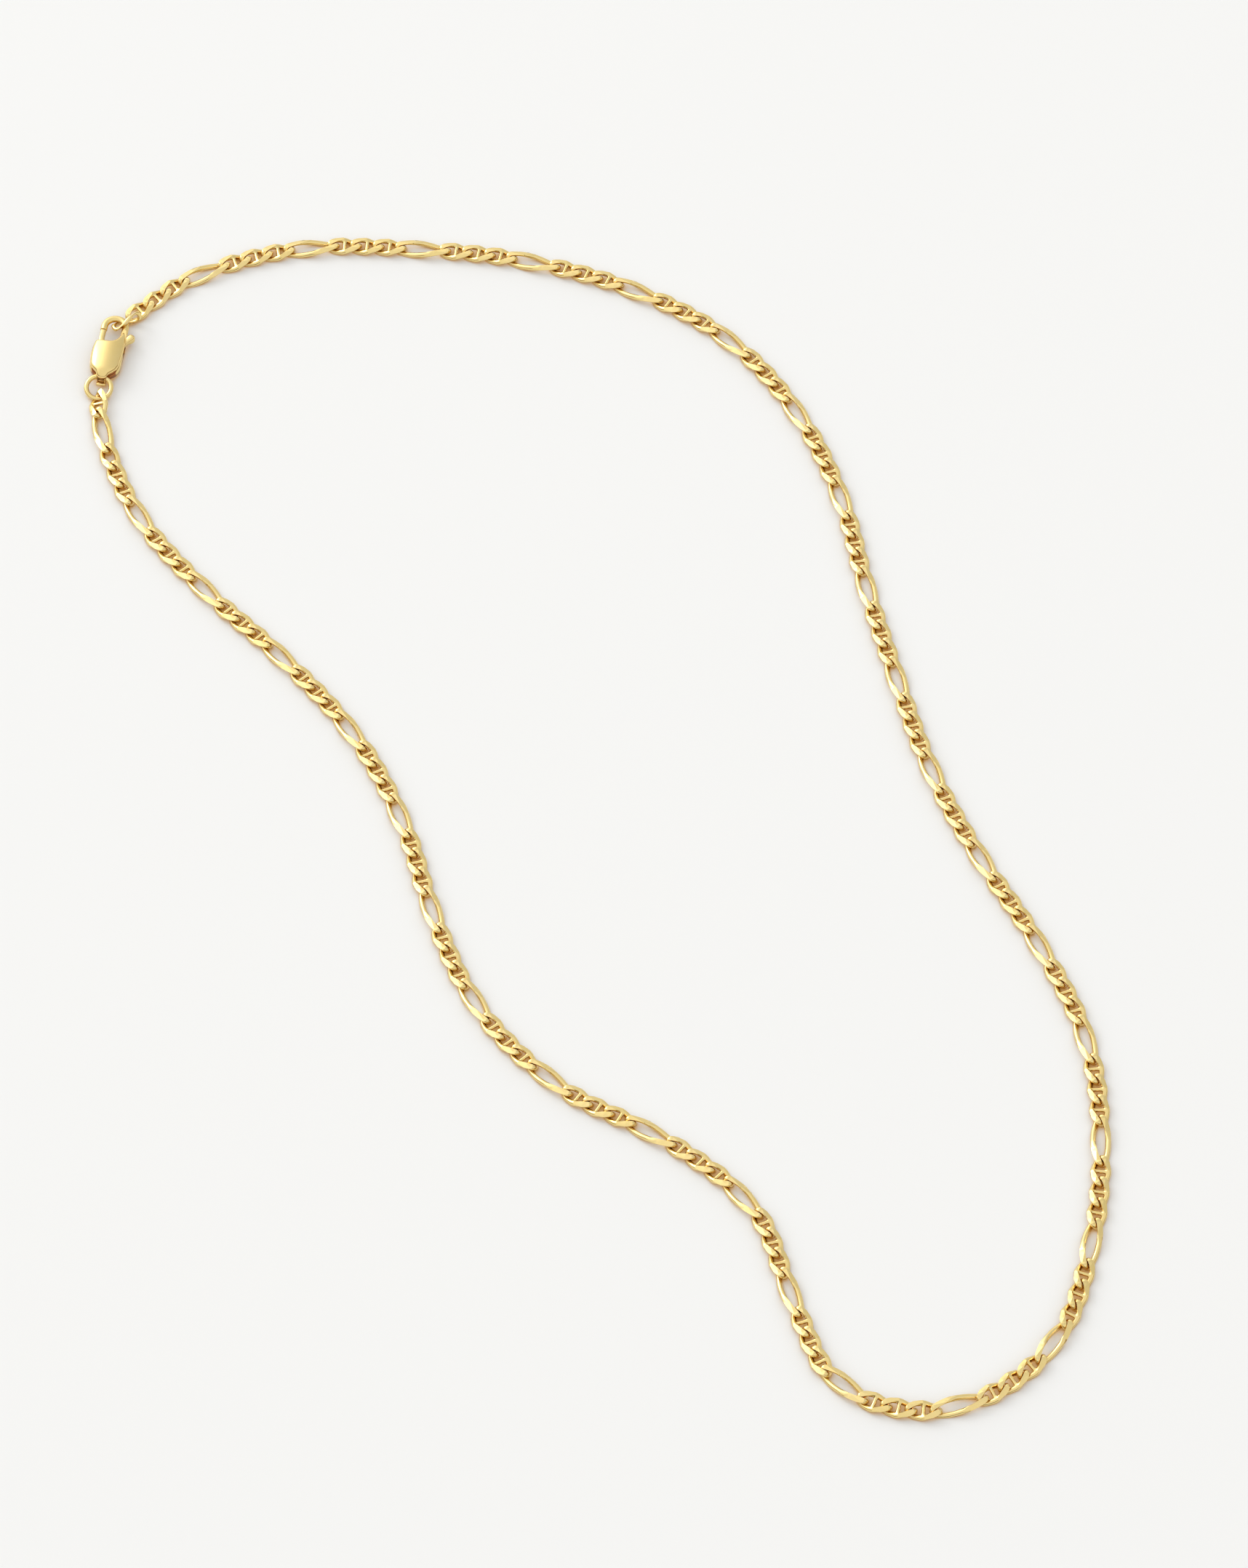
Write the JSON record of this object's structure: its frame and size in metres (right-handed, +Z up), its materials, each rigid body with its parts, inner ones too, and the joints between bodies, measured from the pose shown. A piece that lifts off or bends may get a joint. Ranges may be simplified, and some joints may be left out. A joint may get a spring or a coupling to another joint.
{
  "type": "neck chain",
  "caption": "Flat ground figaro neck chain with barred short links, lying in a free loop and closed by a trigger clasp on an end ring.",
  "frame": {"origin": "centre of the necklace's outline on the surface that it lies on", "axes": "+X to the right and +Y away from the viewer in the loop's plane, +Z up"},
  "size_m": [0.1354, 0.1878, 0.0026],
  "materials": {
    "chain_gold": "polished gold with flat ground faces",
    "ring_gold": "polished gold wire",
    "clasp_gold": "polished cast gold"
  },
  "bodies": {
    "necklace": {"chain_far": "chain_gold", "chain_near": "chain_gold", "end_ring": "ring_gold", "jump_ring": "ring_gold", "clasp_body": "clasp_gold", "lever_pin": "clasp_gold"},
    "lever": {"clasp_lever": "clasp_gold"}
  },
  "joints": [
    {"name": "gate_hinge", "type": "hinge", "parent": "necklace", "child": "lever", "pos_m": [-0.06478, 0.07317, 0.0013], "axis": [0, 0, -1], "range_deg": [0, 15], "stiffness_Nm_per_rad": 0.002, "springref_deg": -22.92}
  ]
}
